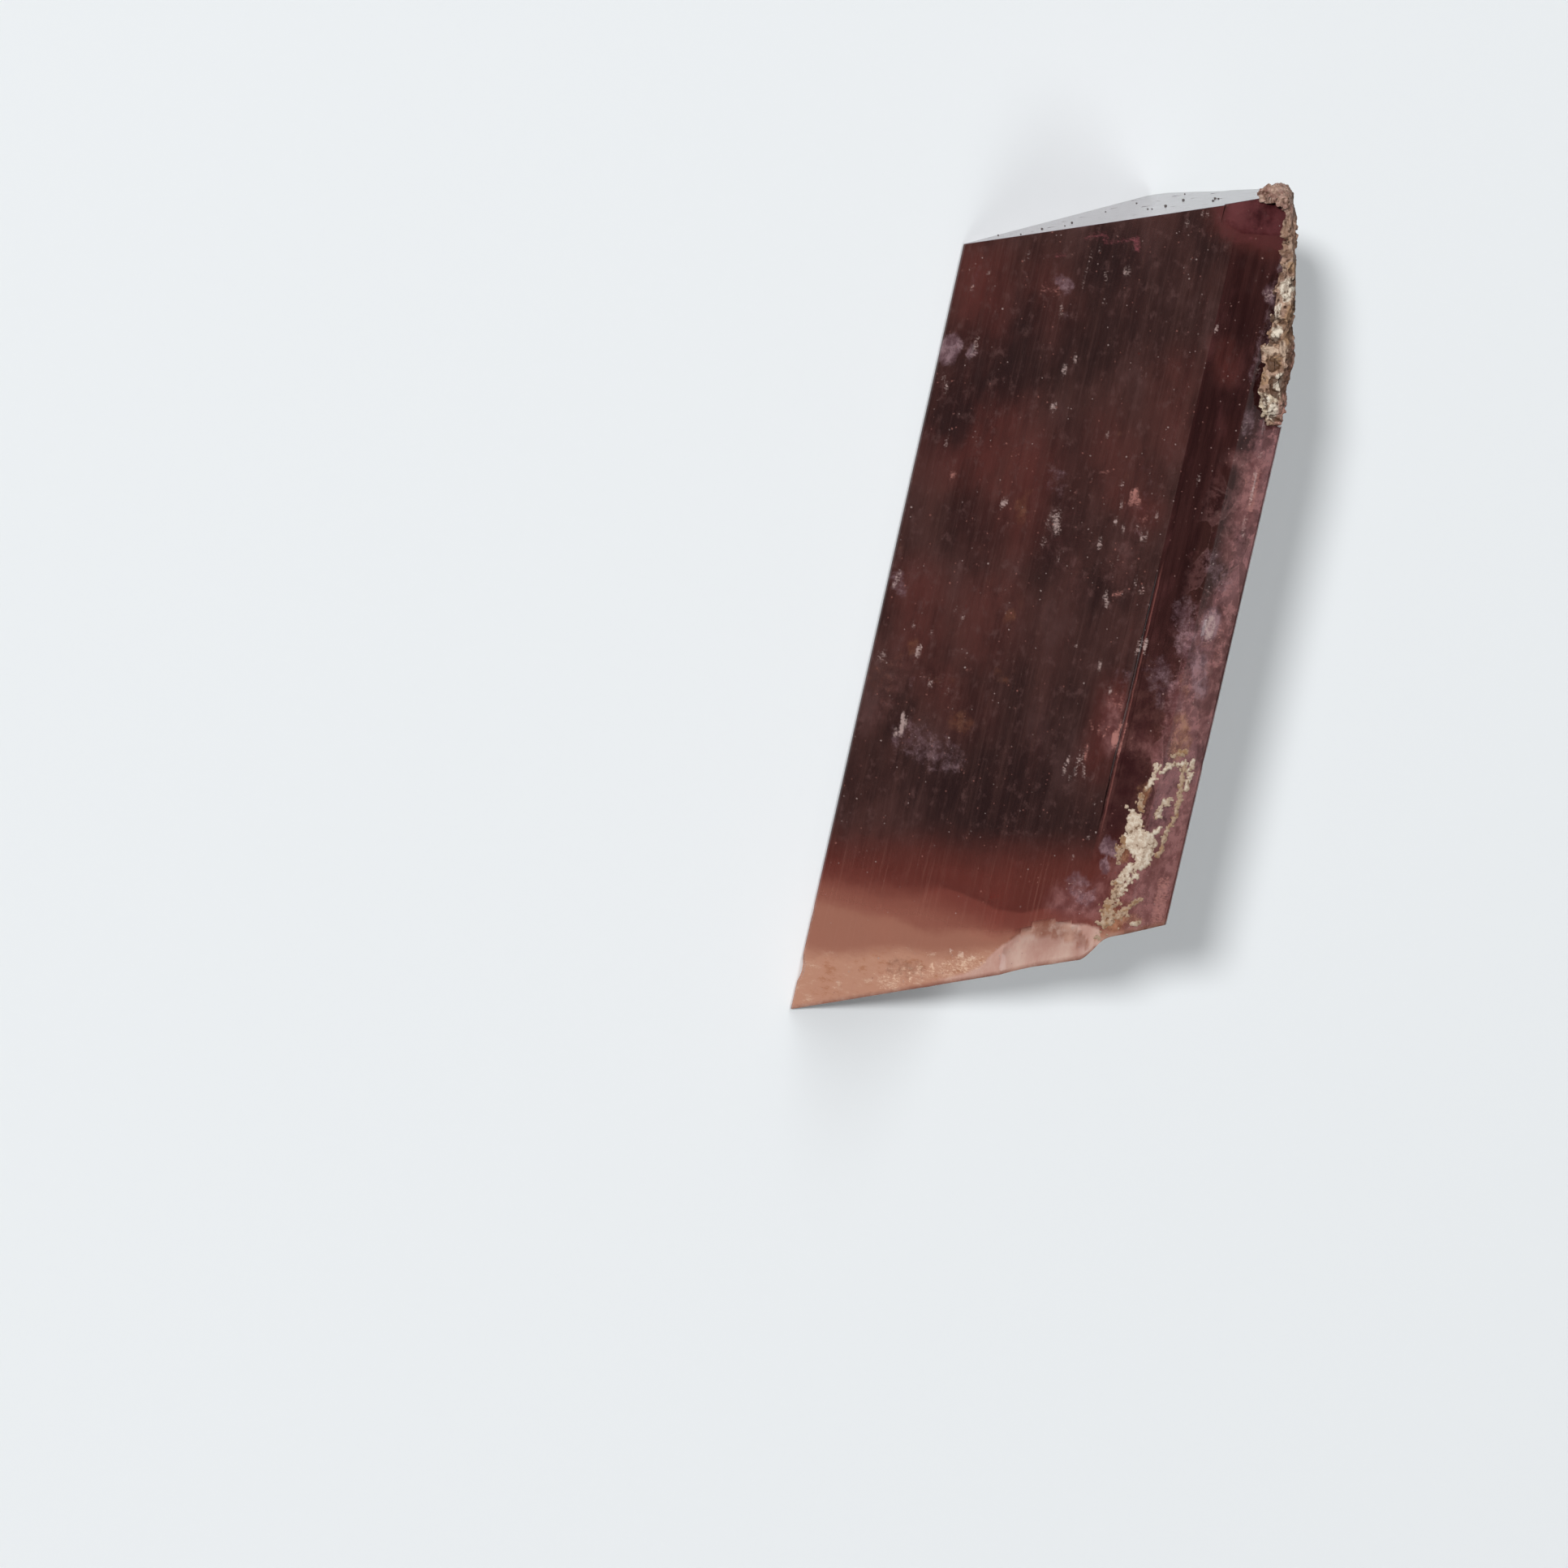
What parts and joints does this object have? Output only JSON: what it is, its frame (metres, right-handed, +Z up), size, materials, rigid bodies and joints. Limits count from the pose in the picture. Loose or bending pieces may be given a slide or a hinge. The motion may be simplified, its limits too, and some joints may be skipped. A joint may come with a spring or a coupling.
{
  "type": "rough tourmaline crystal",
  "caption": "Broken length of a dark plum tourmaline prism with a flat slanting termination, a peach conchoidal base and a rind of rock on one corner, lying on a side face.",
  "frame": {"origin": "middle of the bounding box in plan, on the surface that the crystal lies on", "axes": "+X along the prism from the slanting termination to the broken base; +Z up; the broad front face looks towards -Y and up"},
  "size_m": [0.028, 0.0106, 0.0088],
  "materials": {
    "tourmaline": "glossy, translucent, finely striated",
    "matrix_rock": "rough and crumbly"
  },
  "bodies": {
    "root": {"tourmaline_crystal": "tourmaline", "rock_rind": "matrix_rock"}
  },
  "joints": []
}
